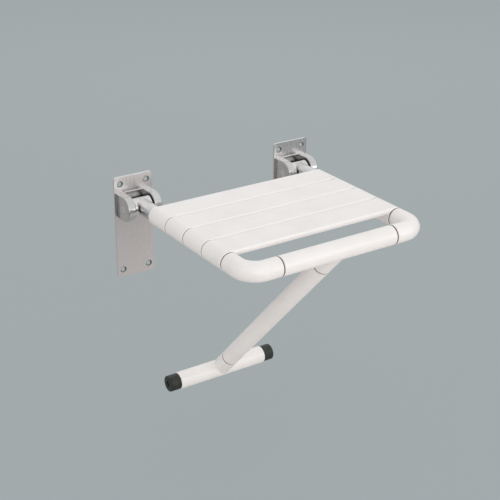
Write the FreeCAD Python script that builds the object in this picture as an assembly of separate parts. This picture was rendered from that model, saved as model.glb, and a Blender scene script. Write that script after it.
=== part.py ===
import FreeCAD, Part
import math
import os
from FreeCAD import Vector

# Fold-up bath seat on two wall brackets, with a strut that leans back against the wall.
# All sizes are millimetres. +X runs to the right along the wall, the wall is the plane Y = 0,
# the seat stands out towards -Y and +Z is up. The origin is the middle of the wall holes.

# Seat layout
arm_spacing = 352.0          # between the axes of the two side arms
rail_reach = 385.0           # wall to the axis of the front rail
bend_radius = 32.0           # centre line of the two front corners
slat_count = 4
slat_start = 88.5            # wall to the rear edge of the rear slat
slat_front_gap = 57.4        # front edge of the front slat to the axis of the front rail
plank_thick = 10.0
plank_edge = 4.5             # rounding of a plank's long edges
crown_drop = 0.05            # plank top below the crown of its end sleeves
slat_seam = 1.0              # open seam between two slats
sleeve_edge = 0.8            # rounding of the covering's rims at a seam
rear_round = 3.0             # rounding of the rearmost rims, behind the last slat

# Steel core and nylon covering
cover_dia = 35.0
core_dia = 25.0
core_wall = 2.0
cover_clear = 0.1            # radial, covering on a tube that it doesn't turn on
turn_clear = 0.08            # radial, pieces that turn on a tube or pin
flat_gap = 0.3               # between flat or round faces that move past each other
seam_width = 2.0             # coloured seam rings
seam_inset = 0.25            # ring surface below the covering
spigot_clear = 0.1           # radial, plug-in ends inside the tubes
corner_spigot = 30.0         # length that a corner core reaches into each tube
cross_pin_dia = 5.0
cross_pin_inset = 0.3        # pin ends below the tube's surface

# Wall plates
plate_width = 78.0
plate_height = 198.0
plate_thick = 4.0
plate_corner = 5.0
hole_margin_x = 12.0         # plate edge to the middle of a hole
hole_margin_z = 14.0
hole_dia = 8.5
sink_dia = 12.6              # countersink at the plate's front

# Hinge housings
arm_below_top = 50.5         # arm axes below the plate's top edge
pin_reach = 27.0             # wall to the hinge pin
pin_drop = 3.0               # hinge pin below the arm axis
ear_radius = 23.0
ear_thick = 15.0
ear_gap = 39.0               # between the two ears
ear_edge = 1.6
back_wall = 3.0              # web between the ears, against the plate
housing_screw_dia = 6.0
housing_screw_length = 18.0
housing_screw_head = 11.4
housing_screw_spread = 26.0  # between the upper and the lower screws
screw_clear = 0.2            # radial, screws in the plate

# Hinge pins and lugs
pin_dia = 12.0
pin_head_dia = 16.0
pin_head_thick = 3.0
head_clear = 0.15            # radial and axial, heads in their recesses
pin_screw_dia = 6.0
pin_screw_depth = 12.0
hex_size = 4.0
hex_depth = 2.0
bush_wall = 1.5
bush_length = 15.0
bush_flange_dia = 21.0
bush_flange_thick = 2.0
lug_radius = 18.0            # barrel of the lug, round the pin
boss_dia = 24.0              # round the bushes, in the cut-away upper back of the lug
lug_notch = 1.0              # front of the pin axis to the face of that cut
heel_round = 6.0
lug_edge = 1.0
neck_dia = 29.5
lug_spigot = 45.0            # length that the lug reaches into the arm

# Strut
foot_drop = 401.0            # front rail axis down to the foot bar axis
tee_length = 233.8           # covering that turns on the front rail
leg_dia = 34.4               # covering of the strut
tee_blend = 1.5              # rounding where a strut socket meets its bar
upper_socket = 57.2          # rail axis to the end of the tee's strut socket
lower_socket = 57.0          # foot bar axis to the end of the foot's strut socket
leg_inset = 2.0              # end of the strut's tube outside the bar's covering
stop_pin_dia = 5.0
stop_pin_rise = 3.0          # above the surface of the rail's tube
stop_pin_root = 4.0          # below that surface
stop_pin_spread = 80.0       # between the two stop pins
stop_pin_angle = 132.0       # place of the pins round the rail, 0 towards the wall
leg_travel = 35.0            # degrees from in use to folded against the slats
foot_length = 200.0
foot_edge = 1.8              # rounding of the foot bar's ends
cap_dia = 32.8
cap_length = 22.5
cap_edge = 2.0
cap_spigot = 18.0
cap_recess_dia = 11.0
cap_recess_depth = 7.0
cap_screw_dia = 5.0
cap_screw_head = 8.6
cap_screw_head_thick = 4.0
insert_thick = 8.0           # threaded disc in each end of the foot bar

# Places that follow from the driving sizes
X = Vector(1, 0, 0)
Y = Vector(0, 1, 0)
Z = Vector(0, 0, 1)
sides = {"left": -1, "right": 1}
arm_x = arm_spacing / 2
cover_radius = cover_dia / 2
core_radius = core_dia / 2
core_bore = core_radius - core_wall
spigot_radius = core_bore - spigot_clear
hole_spacing_x = plate_width - 2 * hole_margin_x
hole_spacing_z = plate_height - 2 * hole_margin_z
seat_z = plate_height / 2 - arm_below_top
slat_reach = rail_reach - slat_front_gap
slat_pitch = (slat_reach - slat_start + slat_seam) / slat_count
arm_seam = slat_reach + seam_width
rail_seam = tee_length / 2 + flat_gap + seam_width
pin_y = -pin_reach
pin_z = seat_z - pin_drop
pin_radius = pin_dia / 2
housing_back = plate_thick + back_wall
ear_outer = ear_gap / 2 + ear_thick
lug_half = ear_gap / 2 - flat_gap - bush_flange_thick
heel_reach = pin_reach - housing_back - flat_gap
bush_radius = pin_radius + turn_clear + bush_wall
leg_radius = leg_dia / 2
foot_reach = cover_radius
rail_point = Vector(0, -rail_reach, seat_z)
foot_point = Vector(0, -foot_reach, seat_z - foot_drop)
leg_length = (foot_point - rail_point).Length
leg_axis = (foot_point - rail_point).normalize()


# Shape helpers
def cylinder(radius, start, end):
    return Part.makeCylinder(radius, (end - start).Length, start, end - start)


def tube(outer, bore, start, end):
    return cylinder(outer, start, end).cut(cylinder(bore, start, end))


def block(x_low, x_high, y_low, y_high, z_low, z_high):
    size = (x_high - x_low, y_high - y_low, z_high - z_low)
    return Part.makeBox(*size, Vector(x_low, y_low, z_low))


def join(shapes):
    return shapes[0].fuse(shapes[1:]).removeSplitter()


def group(shapes):
    return Part.makeCompound(shapes)


def along_leg(distance):
    """Point on the strut's axis, measured down from the front rail."""
    return rail_point + leg_axis * distance


def rounded(solid, edge_radius, centre):
    """Round the rims of a solid that have a given centre."""
    circles = [edge for edge in solid.Edges if isinstance(edge.Curve, Part.Circle)]
    rims = [edge for edge in circles if (edge.Curve.Center - centre).Length < 0.001]
    return solid.makeFillet(edge_radius, rims)


def edges_along(solid, direction):
    """Straight edges of a solid that run along a direction."""
    lines = [edge for edge in solid.Edges if isinstance(edge.Curve, Part.Line)]
    return [edge for edge in lines if abs(edge.Curve.Direction.dot(direction)) > 0.999]


def save(name, shape):
    shape.exportStep("parts/" + name + ".step")


# Wall plates
def wall_plate(side):
    plate = block(-plate_width / 2, plate_width / 2, -plate_thick, 0, -plate_height / 2, plate_height / 2)
    plate = plate.makeFillet(plate_corner, edges_along(plate, Y))
    sink_depth = (sink_dia - hole_dia) / 2
    holes = []
    for x in (-hole_spacing_x / 2, hole_spacing_x / 2):
        for z in (-hole_spacing_z / 2, hole_spacing_z / 2):
            front = Vector(x, -plate_thick, z)
            holes.append(cylinder(hole_dia / 2, front, front + Y * plate_thick))
            holes.append(Part.makeCone(sink_dia / 2, hole_dia / 2, sink_depth, front, Y))
    for point in housing_screw_points():
        holes.append(housing_screw(point, screw_clear))
    plate = plate.cut(holes)
    plate.translate(X * side * arm_x)
    return plate


# Countersunk screws that hold each housing from behind its plate
def housing_screw_points():
    ear_middle = ear_gap / 2 + ear_thick / 2
    heights = (pin_z - housing_screw_spread / 2, pin_z + housing_screw_spread / 2)
    return [Vector(x, 0, z) for x in (-ear_middle, ear_middle) for z in heights]


def housing_screw(point, clearance=0.0):
    shank = housing_screw_dia / 2 + clearance
    head = housing_screw_head / 2 + clearance
    shaft = cylinder(shank, point, point - Y * housing_screw_length)
    return join([shaft, Part.makeCone(head, shank, head - shank, point, -Y)])


def housing_screws(side):
    screws = group([housing_screw(point) for point in housing_screw_points()])
    screws.translate(X * side * arm_x)
    return screws


# Hinge housings: two D-shaped ears on a back wall, open above and below
def ear(x_low):
    top = pin_z + ear_radius
    bottom = pin_z - ear_radius
    back_top = Vector(x_low, -plate_thick, top)
    back_bottom = Vector(x_low, -plate_thick, bottom)
    front_top = Vector(x_low, pin_y, top)
    front_bottom = Vector(x_low, pin_y, bottom)
    nose = Vector(x_low, pin_y - ear_radius, pin_z)
    outline = Part.Wire([
        Part.LineSegment(back_bottom, back_top).toShape(),
        Part.LineSegment(back_top, front_top).toShape(),
        Part.Arc(front_top, nose, front_bottom).toShape(),
        Part.LineSegment(front_bottom, back_bottom).toShape(),
    ])
    solid = Part.Face(outline).extrude(X * ear_thick)
    rims = []
    for edge in solid.Edges:
        across = edge.BoundBox.XLength > ear_thick / 2
        at_plate = edge.BoundBox.YMin > -plate_thick - 0.001
        if not across and not at_plate:
            rims.append(edge)
    return solid.makeFillet(ear_edge, rims)


def hinge_housing(side):
    ears = [ear(-ear_outer), ear(ear_gap / 2)]
    half_web = ear_gap / 2 + ear_edge
    web = block(-half_web, half_web, -housing_back, -plate_thick, pin_z - ear_radius, pin_z + ear_radius)
    housing = join(ears + [web])
    recess_radius = pin_head_dia / 2 + head_clear
    recess_depth = pin_head_thick + head_clear
    left_face = Vector(-ear_outer, pin_y, pin_z)
    right_face = Vector(ear_outer, pin_y, pin_z)
    holes = [
        cylinder(pin_radius, left_face, right_face),
        cylinder(recess_radius, left_face, left_face + X * recess_depth),
        cylinder(recess_radius, right_face, right_face - X * recess_depth),
    ]
    for point in housing_screw_points():
        holes.append(cylinder(housing_screw_dia / 2, point, point - Y * housing_screw_length))
    housing = housing.cut(holes)
    housing.translate(X * side * arm_x)
    return housing


# Hinge pins with a flush head, and the screw in the other end
def hinge_pin(side):
    left_face = Vector(-ear_outer, pin_y, pin_z)
    pin_end = Vector(ear_outer - pin_head_thick - head_clear, pin_y, pin_z)
    body = cylinder(pin_radius, left_face, pin_end)
    head = cylinder(pin_head_dia / 2, left_face, left_face + X * pin_head_thick)
    bore = cylinder(pin_screw_dia / 2, pin_end, pin_end - X * pin_screw_depth)
    pin = join([body, head]).cut(bore)
    pin.translate(X * side * arm_x)
    return pin


def hex_socket(face, direction, size, depth):
    """Six-sided recess that goes in from a face."""
    prism = Part.Face(Part.makePolygon([
        Vector(0, size / math.sqrt(3) * math.cos(turn), size / math.sqrt(3) * math.sin(turn))
        for turn in [math.radians(60 * corner) for corner in range(7)]
    ])).extrude(direction * depth)
    prism.translate(face)
    return prism


def hinge_pin_screw(side):
    face = Vector(ear_outer, pin_y, pin_z)
    seat = face - X * (pin_head_thick + head_clear)
    head = cylinder(pin_head_dia / 2, face, face - X * pin_head_thick)
    shank_end = seat - X * (pin_screw_depth - head_clear)
    shank = cylinder(pin_screw_dia / 2, face - X * pin_head_thick, shank_end)
    screw = join([head, shank]).cut(hex_socket(face, -X, hex_size, hex_depth))
    screw.translate(X * side * arm_x)
    return screw


# Hinge lugs: a barrel on the pin, a heel that stops on the back wall, a neck into the arm
def hinge_lug(side):
    pin_point = Vector(0, pin_y, pin_z)
    half = X * lug_half
    barrel = cylinder(lug_radius, pin_point - half, pin_point + half)
    notch = block(-lug_half, lug_half, pin_y - lug_notch, pin_y + lug_radius, pin_z, pin_z + lug_radius)
    boss = cylinder(boss_dia / 2, pin_point - half, pin_point + half)
    heel = block(-lug_half, lug_half, pin_y, pin_y + heel_reach, pin_z - lug_radius, pin_z)
    heel_corner = [
        edge for edge in edges_along(heel, X)
        if edge.BoundBox.YMin > pin_y + heel_reach / 2 and edge.BoundBox.ZMax < pin_z - lug_radius / 2
    ]
    heel = heel.makeFillet(heel_round, heel_corner)
    body = join([barrel.cut(notch), boss, heel])
    top_edge = [
        edge for edge in edges_along(body, X)
        if edge.BoundBox.ZMin > pin_z + boss_dia / 2 and abs(edge.BoundBox.YMin - pin_y + lug_notch) < 0.1
    ]
    body = body.makeFillet(lug_edge, top_edge)
    neck_start = Vector(0, pin_y - lug_notch - lug_edge, seat_z)
    neck_end = Vector(0, -slat_start, seat_z)
    neck = cylinder(neck_dia / 2, neck_start, neck_end)
    spigot = cylinder(spigot_radius, neck_end, neck_end - Y * lug_spigot)
    lug = join([body, neck, spigot])
    bore = cylinder(bush_radius, pin_point - half, pin_point + half)
    lug = lug.cut([bore, cross_pin(lug_pin_point())])
    lug.translate(X * side * arm_x)
    return lug


def hinge_bushes(side):
    bushes = []
    for end in (-1, 1):
        face = Vector(end * lug_half, pin_y, pin_z)
        outside = face + X * end * bush_flange_thick
        inside = face - X * end * bush_length
        solid = join([
            cylinder(bush_radius, outside, inside),
            cylinder(bush_flange_dia / 2, outside, face),
        ])
        bushes.append(solid.cut(cylinder(pin_radius + turn_clear, outside, inside)))
    bushes = group(bushes)
    bushes.translate(X * side * arm_x)
    return bushes


# Upright cross pins that lock the plug-in ends into the tubes, under the covering
def cross_pin(point):
    reach = Z * (core_radius - cross_pin_inset)
    return cylinder(cross_pin_dia / 2, point - reach, point + reach)


def lug_pin_point():
    return Vector(0, -slat_start - lug_spigot / 2, seat_z)


def corner_pin_points(side):
    on_arm = Vector(side * arm_x, -arm_seam + corner_spigot / 2, seat_z)
    on_rail = Vector(side * (rail_seam - corner_spigot / 2), -rail_reach, seat_z)
    return [on_arm, on_rail]


# Core tubes of the seat
def arm_tube(side):
    start = Vector(side * arm_x, -slat_start, seat_z)
    end = Vector(side * arm_x, -arm_seam, seat_z)
    lug_pin = cross_pin(lug_pin_point() + X * side * arm_x)
    corner_pin = cross_pin(corner_pin_points(side)[0])
    return tube(core_radius, core_bore, start, end).cut([lug_pin, corner_pin])


def stop_pin(x):
    turn = math.radians(stop_pin_angle)
    outward = Vector(0, math.cos(turn), math.sin(turn))
    centre = Vector(x, -rail_reach, seat_z)
    low = centre + outward * (core_radius - stop_pin_root)
    return cylinder(stop_pin_dia / 2, low, centre + outward * (core_radius + stop_pin_rise))


def stop_pins():
    return [stop_pin(-stop_pin_spread / 2), stop_pin(stop_pin_spread / 2)]


def rail_tube():
    start = Vector(-rail_seam, -rail_reach, seat_z)
    end = Vector(rail_seam, -rail_reach, seat_z)
    pins = [cross_pin(corner_pin_points(side)[1]) for side in sides.values()]
    return tube(core_radius, core_bore, start, end).cut(pins + stop_pins())


# Front corners: a cast core with a plug-in end for each tube, and its covering
def corner_bar(radius, side):
    arm_end = Vector(side * arm_x, -arm_seam, seat_z)
    bend_start = Vector(side * arm_x, -rail_reach + bend_radius, seat_z)
    bend_end = Vector(side * (arm_x - bend_radius), -rail_reach, seat_z)
    rail_end = Vector(side * rail_seam, -rail_reach, seat_z)
    bend_centre = Vector(bend_end.x, bend_start.y, seat_z)
    section = Part.Face(Part.Wire(Part.makeCircle(radius, bend_start, Y)))
    bend = section.revolve(bend_centre, Z * -side, 90)
    return join([bend, cylinder(radius, arm_end, bend_start), cylinder(radius, bend_end, rail_end)])


def corner_core(side):
    arm_end = Vector(side * arm_x, -arm_seam, seat_z)
    rail_end = Vector(side * rail_seam, -rail_reach, seat_z)
    core = join([
        corner_bar(core_radius, side),
        cylinder(spigot_radius, arm_end, arm_end + Y * corner_spigot),
        cylinder(spigot_radius, rail_end, rail_end - X * side * corner_spigot),
    ])
    return core.cut([cross_pin(point) for point in corner_pin_points(side)])


def elbow(side):
    cover = corner_bar(cover_radius, side)
    cover = rounded(cover, sleeve_edge, Vector(side * arm_x, -arm_seam, seat_z))
    cover = rounded(cover, sleeve_edge, Vector(side * rail_seam, -rail_reach, seat_z))
    return cover.cut(corner_bar(core_radius + cover_clear, side))


# Slats: a plank with a sleeve at each end that slides onto the arm
def slat(index):
    front = -slat_reach + index * slat_pitch
    rear = front + slat_pitch - slat_seam
    top = seat_z + cover_radius - crown_drop
    plank = block(-arm_x, arm_x, front, rear, top - plank_thick, top)
    plank = plank.makeFillet(plank_edge, edges_along(plank, X))
    is_last = index == slat_count - 1
    solids = [plank]
    bores = []
    for side in sides.values():
        start = Vector(side * arm_x, front, seat_z)
        end = Vector(side * arm_x, rear, seat_z)
        sleeve = cylinder(cover_radius, start, end)
        sleeve = rounded(sleeve, sleeve_edge, start)
        solids.append(rounded(sleeve, rear_round if is_last else sleeve_edge, end))
        bores.append(cylinder(core_radius + cover_clear, start, end))
    return join(solids).cut(bores)


# Coloured rings in the seams of the covering
def seam_ring(bore, outside, start, end):
    return tube(outside - seam_inset, bore, start, end)


def arm_seam_ring(side):
    start = Vector(side * arm_x, -slat_reach, seat_z)
    end = Vector(side * arm_x, -arm_seam, seat_z)
    return seam_ring(core_radius + cover_clear, cover_radius, start, end)


def front_seam_ring(side):
    start = Vector(side * (rail_seam - seam_width), -rail_reach, seat_z)
    end = Vector(side * rail_seam, -rail_reach, seat_z)
    return seam_ring(core_radius + cover_clear, cover_radius, start, end)


def leg_seam_ring(distance):
    start = along_leg(distance)
    end = along_leg(distance + seam_width)
    return seam_ring(core_radius + cover_clear, leg_radius, start, end)


# Tee that turns on the front rail, with the strut's upper socket
def stop_groove(x):
    """Arc in the tee's bore that a stop pin runs in."""
    half_width = stop_pin_dia / 2 + flat_gap
    end_turn = math.degrees(math.asin(half_width / (core_radius + turn_clear)))
    first_turn = math.radians(stop_pin_angle - leg_travel - end_turn)
    outward = Vector(0, math.cos(first_turn), math.sin(first_turn))
    centre = Vector(x, -rail_reach, seat_z)
    low = outward * core_radius
    high = outward * (core_radius + stop_pin_rise + flat_gap)
    corners = [
        centre - X * half_width + low,
        centre + X * half_width + low,
        centre + X * half_width + high,
        centre - X * half_width + high,
    ]
    section = Part.Face(Part.makePolygon(corners + corners[:1]))
    return section.revolve(centre, X, leg_travel + 2 * end_turn)


def tee(bar_point, half_length, socket_end, bar_bore, end_edge):
    """Bar covering with a socket for the strut."""
    bar_start = bar_point - X * half_length
    bar_end = bar_point + X * half_length
    bar = cylinder(cover_radius, bar_start, bar_end)
    bar = rounded(rounded(bar, end_edge, bar_start), end_edge, bar_end)
    socket = rounded(cylinder(leg_radius, bar_point, socket_end), sleeve_edge, socket_end)
    body = join([bar, socket])
    body = body.makeFillet(tee_blend, junction_edges(body))
    toward = (socket_end - bar_point).normalize()
    socket_floor = bar_point + toward * (cover_radius + leg_inset)
    return body.cut([
        cylinder(bar_bore, bar_start, bar_end),
        cylinder(core_radius + cover_clear, socket_floor, socket_end),
    ])


def junction_edges(body):
    """Edges where the socket meets the bar, which are neither straight nor round."""
    return [edge for edge in body.Edges if not isinstance(edge.Curve, (Part.Line, Part.Circle))]


def front_tee():
    bore = core_radius + turn_clear
    body = tee(rail_point, tee_length / 2, along_leg(upper_socket), bore, sleeve_edge)
    grooves = [stop_groove(-stop_pin_spread / 2), stop_groove(stop_pin_spread / 2)]
    return body.cut(grooves)


# Strut and foot bar
def leg_tube():
    start = along_leg(cover_radius + leg_inset)
    end = along_leg(leg_length - cover_radius - leg_inset)
    return tube(core_radius, core_bore, start, end)


def leg_sleeve():
    start = along_leg(upper_socket + seam_width)
    end = along_leg(leg_length - lower_socket - seam_width)
    cover = rounded(cylinder(leg_radius, start, end), sleeve_edge, start)
    return rounded(cover, sleeve_edge, end).cut(cylinder(core_radius + cover_clear, start, end))


def foot_tee():
    socket_end = along_leg(leg_length - lower_socket)
    return tee(foot_point, foot_length / 2, socket_end, core_radius + cover_clear, foot_edge)


def foot_tube():
    half = X * (foot_length / 2)
    return tube(core_radius, core_bore, foot_point - half, foot_point + half)


def foot_cap(side):
    bar_end = foot_point + X * side * foot_length / 2
    face = bar_end + X * side * cap_length
    cap = rounded(cylinder(cap_dia / 2, bar_end, face), cap_edge, face)
    spigot_end = bar_end - X * side * cap_spigot
    cap = join([cap, cylinder(spigot_radius, spigot_end, bar_end)])
    recess_floor = face - X * side * cap_recess_depth
    return cap.cut([
        cylinder(cap_recess_dia / 2, recess_floor, face),
        cylinder(cap_screw_dia / 2, spigot_end, face),
    ])


def foot_cap_screw(side):
    face = foot_point + X * side * (foot_length / 2 + cap_length)
    seat = face - X * side * cap_recess_depth
    head_top = seat + X * side * cap_screw_head_thick
    tip = foot_point + X * side * (foot_length / 2 - cap_spigot - insert_thick)
    screw = join([
        cylinder(cap_screw_head / 2, seat, head_top),
        cylinder(cap_screw_dia / 2, tip, seat),
    ])
    return screw.cut(hex_socket(head_top, X * -side, hex_size, hex_depth))


def foot_insert(side):
    outer = foot_point + X * side * (foot_length / 2 - cap_spigot)
    inner = outer - X * side * insert_thick
    return tube(spigot_radius, cap_screw_dia / 2, inner, outer)


os.makedirs("parts", exist_ok=True)

for name, side in sides.items():
    save("wall_plate_" + name, wall_plate(side))
    save("hinge_housing_" + name, hinge_housing(side))
    save("housing_screws_" + name, housing_screws(side))
    save("hinge_pin_" + name, hinge_pin(side))
    save("hinge_pin_screw_" + name, hinge_pin_screw(side))
    save("hinge_lug_" + name, hinge_lug(side))
    save("hinge_bushes_" + name, hinge_bushes(side))
    save("lug_pin_" + name, cross_pin(lug_pin_point() + X * side * arm_x))
    save("arm_tube_" + name, arm_tube(side))
    save("corner_core_" + name, corner_core(side))
    save("corner_pins_" + name, group([cross_pin(point) for point in corner_pin_points(side)]))
    save("elbow_" + name, elbow(side))
    save("arm_seam_ring_" + name, arm_seam_ring(side))
    save("front_seam_ring_" + name, front_seam_ring(side))
    save("foot_cap_" + name, foot_cap(side))
    save("foot_cap_screw_" + name, foot_cap_screw(side))

for index in range(slat_count):
    save("slat_" + str(index + 1), slat(index))

save("rail_tube", rail_tube())
save("leg_stop_pins", group(stop_pins()))
save("front_tee", front_tee())
save("leg_seam_ring_upper", leg_seam_ring(upper_socket))
save("leg_tube", leg_tube())
save("leg_sleeve", leg_sleeve())
save("leg_seam_ring_lower", leg_seam_ring(leg_length - lower_socket - seam_width))
save("foot_tee", foot_tee())
save("foot_tube", foot_tube())
save("foot_inserts", group([foot_insert(side) for side in sides.values()]))
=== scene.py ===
import math
import bpy
from mathutils import Matrix, Vector


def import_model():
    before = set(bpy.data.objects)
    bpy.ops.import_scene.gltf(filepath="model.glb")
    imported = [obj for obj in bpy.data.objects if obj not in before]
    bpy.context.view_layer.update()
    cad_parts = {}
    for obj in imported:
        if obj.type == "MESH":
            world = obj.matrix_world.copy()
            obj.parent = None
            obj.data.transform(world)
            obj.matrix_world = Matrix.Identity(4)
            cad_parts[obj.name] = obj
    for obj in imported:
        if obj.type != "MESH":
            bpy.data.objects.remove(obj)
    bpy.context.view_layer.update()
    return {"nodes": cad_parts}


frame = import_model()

MICRON = 0.000001
nodes = frame["nodes"]

# Camera that was fitted to the photograph, in the part's frame
CAMERA_PLACE = Vector((-1.0814, -1.7399, 0.8237))
CAMERA_YAW = math.radians(33.81)
CAMERA_PITCH = math.radians(-24.18)
CAMERA_ROLL = math.radians(0.33)
FOCAL_PIXELS = 1140.1
PHOTO_WIDTH = 500
SENSOR = 36.0

# Soft boxes, which face the seat: place and size in metres, and power in watts
SEAT_MIDDLE = Vector((0.0, -0.2, 0.0))
SOFT_BOXES = {
    "front": ((1.75, -2.9, 0.6), (1.6, 1.2), 10.4),
    "near": ((-0.9, -3.2, 0.7), (1.8, 2.4), 23.4),
    "behind": ((1.9, 2.6, 1.7), (2.6, 1.2), 25.0),
    "glint": ((1.7, -2.75, 0.4), (1.5, 1.0), 7.1),
}

# World: strength of its even light
WORLD_LIGHT = 0.838

# Mirrored ceiling: where it starts and is full, upwards and to the right, and its share on the far left
CEILING_UPWARDS = (-0.05, 0.30)
CEILING_SIDEWAYS = (-0.7, 0.2)
CEILING_LEFT_SHARE = 0.35

# Floor: its height, half its width and the share of its light that takes shadows
FLOOR_HEIGHT = -0.45
FLOOR_HALF = 12.0
FLOOR_LIT_SHARE = 0.12

# Wall plates: skin on each axis that stays bright, and how softly it turns into the painted shade of the
# screw holes
PLATE_SKIN = {"X": 0.003, "Y": 0.0004, "Z": 0.003}
PLATE_BLUR = 0.0001

# Inside of the hinge housings: half its width, its rim, and the heights where the painted shadow black
# begins and is full
CAVITY_HALF = 0.0195
CAVITY_HALF_BLUR = 0.0003
CAVITY_RIM = 0.0675
CAVITY_RIM_BLUR = 0.0005
CAVITY_SHADE = (0.0590, 0.0535)

# Painted shade along the slats' seams: half its width, half its full part, and where it rises on X
SEAM_HALF = 0.0011
SEAM_HALF_FULL = SEAM_HALF / 2
SEAM_SLEEVE = (0.168, 0.184)

# Painted highlight line near each slat's front edge: its place behind it, half its width, and half its full
# part
EDGE_INSET = 0.0021
EDGE_HALF = 0.0022
EDGE_HALF_FULL = EDGE_HALF / 3

# Clouds of the base colours: waves per metre, and the part of the noise where dark turns to light
NYLON_CLOUDS = 18.0
CAST_CLOUDS = 40.0
MATTE_CLOUDS = 120.0
NYLON_TONES = (0.2, 0.6)
STEEL_TONES = (0.25, 0.6)
MATTE_TONES = (0.35, 0.65)

# Roughness of the finishes: their own, how far it varies down and up, and waves per metre
NYLON_ROUGHNESS = 0.34
NYLON_ROUGHNESS_SPREAD = (0.04, 0.06)
NYLON_ROUGHNESS_WAVES = 90.0
CAST_ROUGHNESS = 0.24
CAST_ROUGHNESS_SPREAD = (0.04, 0.03)
CAST_ROUGHNESS_WAVES = 60.0
BRUSHED_ROUGHNESS_SPREAD = (0.06, 0.08)
MATTE_ROUGHNESS_SPREAD = (0.08, 0.08)
MATTE_WAVES_PER_GRAIN = 1 / 3

# Relief: waves per metre and depth of the nylon's grain and swells, and the strength of each relief
NYLON_GRAIN = 1400.0
NYLON_GRAIN_DEPTH = 30 * MICRON
NYLON_GRAIN_STRENGTH = 0.5
NYLON_SWELLS = 45.0
NYLON_SWELL_DEPTH = 250 * MICRON
NYLON_SWELL_STRENGTH = 0.25
BRUSHED_STRENGTH = 0.6
MATTE_STRENGTH = 0.8

# Noise: its layers of detail, and the numbers that most of it lies between
SMOOTH_DETAIL = 2.0
PLAIN_DETAIL = 3.0
FINE_DETAIL = 4.0
NOISE_RANGE = (0.3, 0.7)

# Light that the nylon lets in under its skin: its share, and the relative reach of red, green and blue
SKIN_SHARE = 0.06
SKIN_REACH = (0.003, 0.003, 0.0025)

# Colours, linear
WHITE = (1.0, 1.0, 1.0, 1.0)
BACKGROUND = (0.366, 0.407, 0.418, 1.0)
FLOOR_SEEN = (0.326, 0.374, 0.389, 1.0)
FLOOR_LIT = (0.66, 0.64, 0.62, 1.0)
CEILING = (0.88, 0.90, 0.91, 1.0)
# Painted shade at the slats' seams
NYLON_SEAM_SHADE = (0.30, 0.28, 0.27, 1.0)
# Painted highlight near the slats' front edges
NYLON_EDGE_HIGHLIGHT = (0.925, 0.897, 0.879, 1.0)
NYLON = (0.86, 0.83, 0.812, 1.0)
NYLON_DEEP = (0.815, 0.78, 0.76, 1.0)
PLATE = (0.80, 0.77, 0.762, 1.0)
PLATE_DARK = (0.765, 0.73, 0.722, 1.0)
# Painted shade inside the screw holes
HOLE_SHADE = (0.28, 0.27, 0.27, 1.0)
CAST = (0.77, 0.745, 0.737, 1.0)
CAST_DARK = (0.73, 0.705, 0.697, 1.0)
HOUSING = (0.67, 0.65, 0.643, 1.0)
HOUSING_DARK = (0.60, 0.58, 0.573, 1.0)
# Painted shade and painted shadow inside the hinge housings
CAVITY_SHADE_GREY = (0.60, 0.59, 0.59, 1.0)
CAVITY_SHADOW_BLACK = (0.02, 0.018, 0.018, 1.0)
TUBE = (0.42, 0.42, 0.43, 1.0)
TUBE_DARK = (0.30, 0.30, 0.31, 1.0)
SEAM = (0.13, 0.09, 0.08, 1.0)
SEAM_DARK = (0.08, 0.06, 0.055, 1.0)
RUBBER = (0.011, 0.014, 0.010, 1.0)
RUBBER_WORN = (0.023, 0.027, 0.020, 1.0)
BUSH = (0.07, 0.07, 0.07, 1.0)
BUSH_DARK = (0.04, 0.04, 0.04, 1.0)

# Round spots of the floor that metal alone mirrors: centre, radius and colour
FLOOR_SPOTS = [
    (Vector((-0.85, -0.90, FLOOR_HEIGHT)), 0.9, (0.02, 0.017, 0.017, 1.0)),
    (Vector((0.25, -0.60, FLOOR_HEIGHT)), 0.65, (0.60, 0.575, 0.565, 1.0)),
    (Vector((0.80, -1.35, FLOOR_HEIGHT)), 0.75, (0.25, 0.235, 0.233, 1.0)),
    (Vector((-0.80, 0.90, FLOOR_HEIGHT)), 1.0, (0.43, 0.419, 0.414, 1.0)),
]

# Share of a spot's radius that has its colour in full
SPOT_CORE = 0.25

# Sockets of a colour mix: share, first colour and second colour, and the mixed colour
MIX_INPUTS = (0, 6, 7)
MIX_OUTPUT = 2


# Building blocks of materials, floor and world
class Graph:
    """Node tree with short ways to add nodes and to join them."""

    def __init__(self, owner):
        owner.use_nodes = True
        self.tree = owner.node_tree

    def feed(self, target, source):
        """Give an input the output of another node, or a plain value."""
        if isinstance(source, bpy.types.NodeSocket):
            self.tree.links.new(source, target)
        else:
            target.default_value = source

    def add(self, kind, **inputs):
        """New node; the names of its inputs have an underscore for each space."""
        node = self.tree.nodes.new(kind)
        for name, source in inputs.items():
            self.feed(node.inputs[name.replace("_", " ")], source)
        return node

    def combine(self, operation, *numbers):
        node = self.add("ShaderNodeMath")
        node.operation = operation
        for target, number in zip(node.inputs, numbers):
            self.feed(target, number)
        return node.outputs["Value"]

    def product(self, *shares):
        whole = shares[0]
        for share in shares[1:]:
            whole = self.combine("MULTIPLY", whole, share)
        return whole

    def between(self, value, start, end, low=0.0, high=1.0):
        """The low number at the start, the high one at the end, and an even rise between."""
        node = self.add("ShaderNodeMapRange", Value=value, From_Min=start, From_Max=end)
        self.feed(node.inputs["To Min"], low)
        self.feed(node.inputs["To Max"], high)
        return node.outputs["Result"]

    def mix(self, share, first, second):
        """First colour where the share is 0, the second where it is 1."""
        node = self.add("ShaderNodeMix")
        node.data_type = "RGBA"
        for place, source in zip(MIX_INPUTS, (share, first, second)):
            self.feed(node.inputs[place], source)
        return node.outputs[MIX_OUTPUT]

    def mix_light(self, share, first, second):
        """First light where the share is 0, the second where it is 1."""
        node = self.add("ShaderNodeMixShader", Fac=share)
        self.feed(node.inputs[1], first)
        self.feed(node.inputs[2], second)
        return node.outputs["Shader"]

    def ray(self, kind):
        """1 for rays of one kind, else 0."""
        return self.add("ShaderNodeLightPath").outputs[kind]


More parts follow.
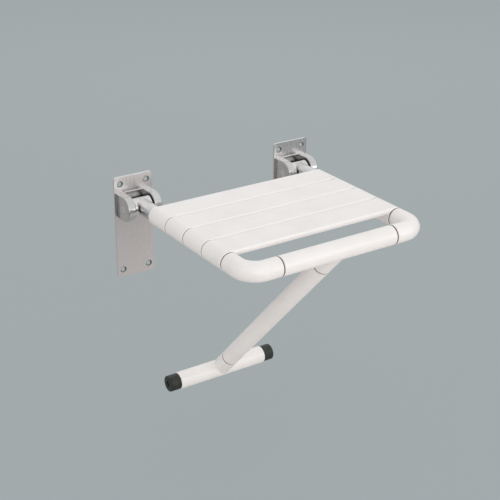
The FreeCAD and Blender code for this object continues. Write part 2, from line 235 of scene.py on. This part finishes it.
class Surface(Graph):
    """Material of a group of pieces, with the part's own coordinates."""

    def __init__(self, name, roughness, metallic=0.0):
        self.material = bpy.data.materials.new(name)
        super().__init__(self.material)
        self.shader = self.tree.nodes["Principled BSDF"]
        self.own_roughness = roughness
        self.paint("Roughness", roughness)
        self.paint("Metallic", metallic)
        self.place = self.add("ShaderNodeTexCoord").outputs["Object"]

    def paint(self, name, source):
        self.feed(self.shader.inputs[name], source)

    def noise(self, waves, detail=PLAIN_DETAIL, stretch=(1, 1, 1)):
        mapping = self.add("ShaderNodeMapping", Vector=self.place, Scale=stretch)
        node = self.add("ShaderNodeTexNoise", Vector=mapping.outputs["Vector"], Scale=waves, Detail=detail)
        return node.outputs["Fac"]

    def clouds(self, noise, dark, light, tones):
        """Base colour that runs from dark to light over part of a noise's range."""
        node = self.add("ShaderNodeValToRGB", Fac=noise)
        for element, tone, colour in zip(node.color_ramp.elements, tones, (dark, light)):
            element.position = tone
            element.color = colour
        self.paint("Base Color", node.outputs["Color"])

    def tint(self, share, colour):
        """Put a plain colour over the base colour, where the share is 1."""
        base = self.shader.inputs["Base Color"].links[0].from_socket
        self.paint("Base Color", self.mix(share, base, colour))

    def vary_roughness(self, noise, down, up):
        low = self.own_roughness - down
        high = self.own_roughness + up
        self.paint("Roughness", self.between(noise, *NOISE_RANGE, low, high))

    def relief(self, height, depth, strength):
        """Bump that adds to the one already there."""
        node = self.add("ShaderNodeBump", Height=height, Distance=depth, Strength=strength)
        normal = self.shader.inputs["Normal"]
        if normal.is_linked:
            self.feed(node.inputs["Normal"], normal.links[0].from_socket)
        self.feed(normal, node.outputs["Normal"])

    def along(self, axis):
        return self.add("ShaderNodeSeparateXYZ", Vector=self.place).outputs[axis]

    def away(self, axis, place):
        """Distance on one axis from a place."""
        return self.combine("ABSOLUTE", self.combine("SUBTRACT", self.along(axis), place))

    def nearest(self, axis, places):
        """Distance on one axis from the nearest of some places."""
        distance = self.away(axis, places[0])
        for place in places[1:]:
            distance = self.combine("MINIMUM", distance, self.away(axis, place))
        return distance


# Finishes
def nylon(name):
    """Satin moulded nylon with a very fine grain and slight swells."""
    surface = Surface(name, NYLON_ROUGHNESS)
    surface.paint("Subsurface Weight", SKIN_SHARE)
    surface.paint("Subsurface Radius", SKIN_REACH)
    surface.clouds(surface.noise(NYLON_CLOUDS), NYLON_DEEP, NYLON, NYLON_TONES)
    surface.vary_roughness(surface.noise(NYLON_ROUGHNESS_WAVES), *NYLON_ROUGHNESS_SPREAD)
    surface.relief(surface.noise(NYLON_GRAIN, SMOOTH_DETAIL), NYLON_GRAIN_DEPTH, NYLON_GRAIN_STRENGTH)
    surface.relief(surface.noise(NYLON_SWELLS, SMOOTH_DETAIL), NYLON_SWELL_DEPTH, NYLON_SWELL_STRENGTH)
    return surface


def slat_nylon(name):
    """Nylon of the slats, with a painted highlight near their front edges and painted shade at the seams of
    their sleeves.
    """
    surface = nylon(name)
    # Painted highlight near each slat's front edge
    highlight = surface.between(surface.nearest("Y", slat_edges()), EDGE_HALF, EDGE_HALF_FULL)
    surface.tint(highlight, NYLON_EDGE_HIGHLIGHT)
    # Painted shade at the seams of the slats' sleeves
    shade = surface.between(surface.nearest("Y", slat_seams()), SEAM_HALF, SEAM_HALF_FULL)
    sleeve = surface.between(surface.away("X", 0.0), *SEAM_SLEEVE)
    surface.tint(surface.product(shade, sleeve), NYLON_SEAM_SHADE)
    return surface


def brushed(name, light, dark, roughness, waves, depth):
    """Brushed stainless steel; its lines are given as waves per metre on each axis."""
    surface = Surface(name, roughness, metallic=1.0)
    lines = surface.noise(1.0, FINE_DETAIL, waves)
    surface.clouds(lines, dark, light, STEEL_TONES)
    surface.vary_roughness(lines, *BRUSHED_ROUGHNESS_SPREAD)
    surface.relief(lines, depth, BRUSHED_STRENGTH)
    return surface


def turned_steel():
    return brushed("steel_turned", CAST, CAST_DARK, roughness=0.28, waves=(700, 700, 700), depth=4 * MICRON)


def tube_steel():
    return brushed("steel_tube", TUBE, TUBE_DARK, roughness=0.40, waves=(500, 500, 500), depth=20 * MICRON)


def plate_steel(side):
    """Steel of a wall plate, brushed upwards, with painted shade inside the screw holes."""
    plate = "wall_plate_" + side
    name = "steel_" + plate
    surface = brushed(name, PLATE, PLATE_DARK, roughness=0.28, waves=(1700, 1700, 14), depth=3 * MICRON)
    insides = []
    for axis, skin in PLATE_SKIN.items():
        low, high = reach(plate, axis)
        half = (high - low) / 2 - skin
        insides.append(surface.between(surface.away(axis, middle(plate, axis)), half + PLATE_BLUR, half))
    # Painted shade inside the screw holes
    surface.tint(surface.product(*insides), HOLE_SHADE)
    return surface


def cast_steel(name, light, dark):
    """Cast stainless steel, ground smooth."""
    surface = Surface(name, CAST_ROUGHNESS, metallic=1.0)
    surface.clouds(surface.noise(CAST_CLOUDS, FINE_DETAIL), dark, light, STEEL_TONES)
    surface.vary_roughness(surface.noise(CAST_ROUGHNESS_WAVES), *CAST_ROUGHNESS_SPREAD)
    return surface


def housing_steel(side):
    """Cast steel of a hinge housing, with painted shade between its ears and painted shadow black farther
    down.
    """
    surface = cast_steel("steel_housing_" + side, HOUSING, HOUSING_DARK)
    height = surface.along("Z")
    across = surface.away("X", middle("hinge_housing_" + side, "X"))
    between_ears = surface.between(across, CAVITY_HALF + CAVITY_HALF_BLUR, CAVITY_HALF)
    below_rim = surface.between(height, CAVITY_RIM + CAVITY_RIM_BLUR, CAVITY_RIM)
    inside = surface.product(between_ears, below_rim)
    # Painted shade between the ears, and painted shadow black farther down
    surface.tint(inside, CAVITY_SHADE_GREY)
    surface.tint(surface.product(inside, surface.between(height, *CAVITY_SHADE)), CAVITY_SHADOW_BLACK)
    return surface


def matte(name, light, dark, roughness, grain, depth):
    """Plain matte plastic or rubber; the grain is in waves per metre."""
    surface = Surface(name, roughness)
    surface.clouds(surface.noise(MATTE_CLOUDS), dark, light, MATTE_TONES)
    surface.vary_roughness(surface.noise(grain * MATTE_WAVES_PER_GRAIN), *MATTE_ROUGHNESS_SPREAD)
    surface.relief(surface.noise(grain), depth, MATTE_STRENGTH)
    return surface


def seam_plastic():
    return matte("seam_plastic", SEAM, SEAM_DARK, roughness=0.55, grain=900.0, depth=30 * MICRON)


def cap_rubber():
    return matte("cap_rubber", RUBBER_WORN, RUBBER, roughness=0.48, grain=700.0, depth=60 * MICRON)


def bush_plastic():
    return matte("bush_plastic", BUSH, BUSH_DARK, roughness=0.45, grain=800.0, depth=30 * MICRON)


# Places that the finishes take from the nodes
def reach(name, axis):
    """Lowest and highest coordinate of a node along one axis."""
    index = "XYZ".index(axis)
    places = [(nodes[name].matrix_world @ Vector(corner))[index] for corner in nodes[name].bound_box]
    return min(places), max(places)


def middle(name, axis):
    low, high = reach(name, axis)
    return (low + high) / 2


def slat_seams():
    """Places on Y of the seams between neighbouring slats."""
    reaches = sorted(reach(name, "Y") for name in nodes if name.startswith("slat_"))
    return [(before[1] + after[0]) / 2 for before, after in zip(reaches, reaches[1:])]


def slat_edges():
    """Places on Y of the painted highlight lines, one near the front edge of each slat."""
    return [reach(name, "Y")[0] + EDGE_INSET for name in nodes if name.startswith("slat_")]


def dress_nodes():
    """Give each node its finish, by the start of the node's name."""
    finishes = [
        (slat_nylon("nylon_slats"), ["slat_"]),
        (nylon("nylon_satin"), ["elbow_", "front_tee", "leg_sleeve", "foot_tee"]),
        (plate_steel("left"), ["wall_plate_left"]),
        (plate_steel("right"), ["wall_plate_right"]),
        (cast_steel("steel_lug", CAST, CAST_DARK), ["hinge_lug_"]),
        (housing_steel("left"), ["hinge_housing_left"]),
        (housing_steel("right"), ["hinge_housing_right"]),
        (turned_steel(), [
            "hinge_pin_", "housing_screws_", "lug_pin_", "corner_pins_", "corner_core_",
            "foot_cap_screw_", "leg_stop_pins", "foot_inserts",
        ]),
        (tube_steel(), ["arm_tube_", "rail_tube", "leg_tube", "foot_tube"]),
        (seam_plastic(), ["arm_seam_ring_", "front_seam_ring_", "leg_seam_ring_"]),
        (cap_rubber(), ["foot_cap_left", "foot_cap_right"]),
        (bush_plastic(), ["hinge_bushes_"]),
    ]
    for surface, starts in finishes:
        for name, piece in nodes.items():
            if name.startswith(tuple(starts)):
                piece.data.materials.clear()
                piece.data.materials.append(surface.material)


# Floor and background
def seen_share(graph, eye_share=1.0):
    """1 for glossy and transmitted rays, the given share for rays from the eye, else 0."""
    eye = graph.product(graph.ray("Is Camera Ray"), eye_share)
    seen = graph.combine("MAXIMUM", eye, graph.ray("Is Glossy Ray"))
    return graph.combine("MAXIMUM", seen, graph.ray("Is Transmission Ray"))


def spot_share(graph, centre, radius):
    """1 in the middle of a round spot of the floor, for glossy rays alone, and 0 outside it."""
    away = graph.add("ShaderNodeVectorMath")
    away.operation = "DISTANCE"
    graph.feed(away.inputs[0], graph.add("ShaderNodeTexCoord").outputs["Object"])
    graph.feed(away.inputs[1], centre)
    inside = graph.between(away.outputs["Value"], radius, radius * SPOT_CORE)
    inside.node.interpolation_type = "SMOOTHSTEP"
    return graph.product(inside, graph.ray("Is Glossy Ray"))


def floor_material():
    """Background colour to the eye and in reflections, with a soft shadow; pale to the light."""
    material = bpy.data.materials.new("floor_pale")
    graph = Graph(material)
    graph.tree.nodes.clear()
    colour = FLOOR_SEEN
    for centre, radius, spot in FLOOR_SPOTS:
        colour = graph.mix(spot_share(graph, centre, radius), colour, spot)
    lit = graph.add("ShaderNodeBsdfDiffuse", Color=FLOOR_LIT).outputs["BSDF"]
    seen = graph.add("ShaderNodeEmission", Color=colour).outputs["Emission"]
    both = graph.mix_light(seen_share(graph, 1.0 - FLOOR_LIT_SHARE), lit, seen)
    graph.add("ShaderNodeOutputMaterial", Surface=both)
    return material


def floor():
    sides = ((-1, -1), (1, -1), (1, 1), (-1, 1))
    corners = [(x * FLOOR_HALF, y * FLOOR_HALF, FLOOR_HEIGHT) for x, y in sides]
    mesh = bpy.data.meshes.new("floor")
    mesh.from_pydata(corners, [], [(0, 1, 2, 3)])
    plane = bpy.data.objects.new("floor", mesh)
    plane.data.materials.append(floor_material())
    bpy.context.scene.collection.objects.link(plane)


def ceiling_colour(graph):
    """Background colour at the horizon; glossy rays that go up meet a ceiling, paler to the right."""
    direction = graph.add("ShaderNodeTexCoord").outputs["Generated"]
    split = graph.add("ShaderNodeSeparateXYZ", Vector=direction)
    upwards = graph.between(split.outputs["Z"], *CEILING_UPWARDS)
    sideways = graph.between(split.outputs["X"], *CEILING_SIDEWAYS, low=CEILING_LEFT_SHARE)
    share = graph.product(upwards, sideways, graph.ray("Is Glossy Ray"))
    return graph.mix(share, BACKGROUND, CEILING)


def world():
    """Even light, the background colour to the eye, and a paler ceiling in reflections."""
    studio = bpy.data.worlds.new("studio")
    bpy.context.scene.world = studio
    graph = Graph(studio)
    graph.tree.nodes.clear()
    lit = graph.add("ShaderNodeBackground", Color=WHITE, Strength=WORLD_LIGHT).outputs["Background"]
    seen = graph.add("ShaderNodeBackground", Color=ceiling_colour(graph)).outputs["Background"]
    graph.add("ShaderNodeOutputWorld", Surface=graph.mix_light(seen_share(graph), lit, seen))


# Lights and camera
def soft_box(name, place, size, power):
    lamp = bpy.data.lights.new(name, "AREA")
    lamp.shape = "RECTANGLE"
    lamp.size, lamp.size_y = size
    lamp.energy = power
    holder = bpy.data.objects.new(name, lamp)
    holder.location = place
    holder.rotation_mode = "QUATERNION"
    holder.rotation_quaternion = (SEAT_MIDDLE - Vector(place)).to_track_quat("-Z", "Y")
    holder.visible_camera = False
    bpy.context.scene.collection.objects.link(holder)
    return holder


def lights():
    """Soft boxes: two stay out of reflections, and the glint shows in reflections alone."""
    boxes = {name: soft_box(name, *box) for name, box in SOFT_BOXES.items()}
    boxes["front"].visible_glossy = False
    boxes["behind"].visible_glossy = False
    boxes["glint"].visible_diffuse = False


def camera():
    forward = Vector((
        math.sin(CAMERA_YAW) * math.cos(CAMERA_PITCH),
        math.cos(CAMERA_YAW) * math.cos(CAMERA_PITCH),
        math.sin(CAMERA_PITCH),
    ))
    level = Vector((math.cos(CAMERA_YAW), -math.sin(CAMERA_YAW), 0.0))
    upward = level.cross(forward)
    right = level * math.cos(CAMERA_ROLL) + upward * math.sin(CAMERA_ROLL)
    up = upward * math.cos(CAMERA_ROLL) - level * math.sin(CAMERA_ROLL)
    lens = bpy.data.cameras.new("photo_camera")
    lens.sensor_width = SENSOR
    lens.lens = FOCAL_PIXELS / PHOTO_WIDTH * SENSOR
    holder = bpy.data.objects.new("photo_camera", lens)
    turn = Matrix((right, up, -forward)).transposed().to_4x4()
    holder.matrix_world = Matrix.Translation(CAMERA_PLACE) @ turn
    bpy.context.scene.collection.objects.link(holder)
    bpy.context.scene.camera = holder


dress_nodes()
floor()
world()
lights()
camera()

bpy.context.scene.view_settings.view_transform = "Standard"
